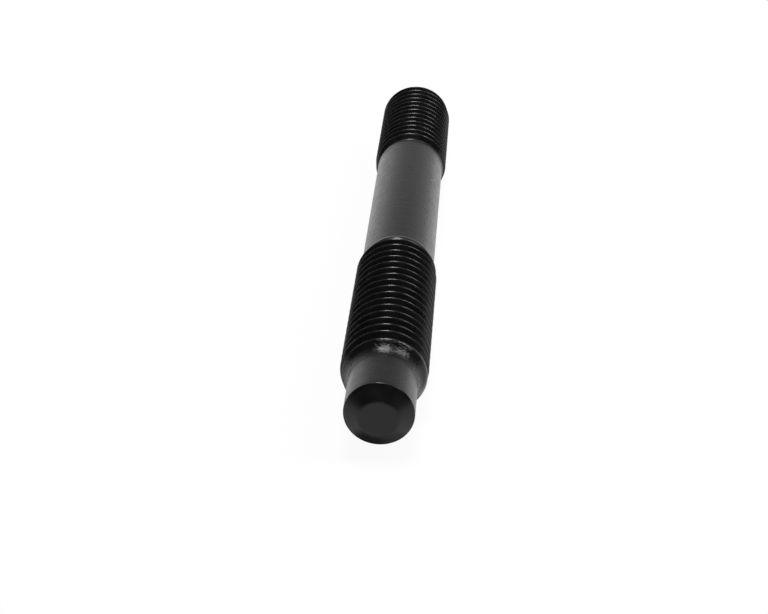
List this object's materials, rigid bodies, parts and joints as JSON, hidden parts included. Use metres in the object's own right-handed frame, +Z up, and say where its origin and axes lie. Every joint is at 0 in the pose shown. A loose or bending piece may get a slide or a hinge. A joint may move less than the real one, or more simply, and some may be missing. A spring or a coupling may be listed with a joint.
{
  "type": "double ended stud",
  "caption": "Black steel stud threaded at both ends, with a plain shank between and a pilot nose that leads one thread into its hole.",
  "frame": {"origin": "under the middle of the stud's length, on the surface that it lies on", "axes": "+Y along the stud from its pilot end to its plain end, +Z up, +X to the right when looking along +Y"},
  "size_m": [0.008, 0.0706, 0.008],
  "materials": {
    "black_oxide_steel": "black oxide on steel: satin and slightly oily, dark thread flanks, fine turning marks on the pilot and shank"
  },
  "bodies": {
    "root": {"stud": "black_oxide_steel"}
  },
  "joints": []
}
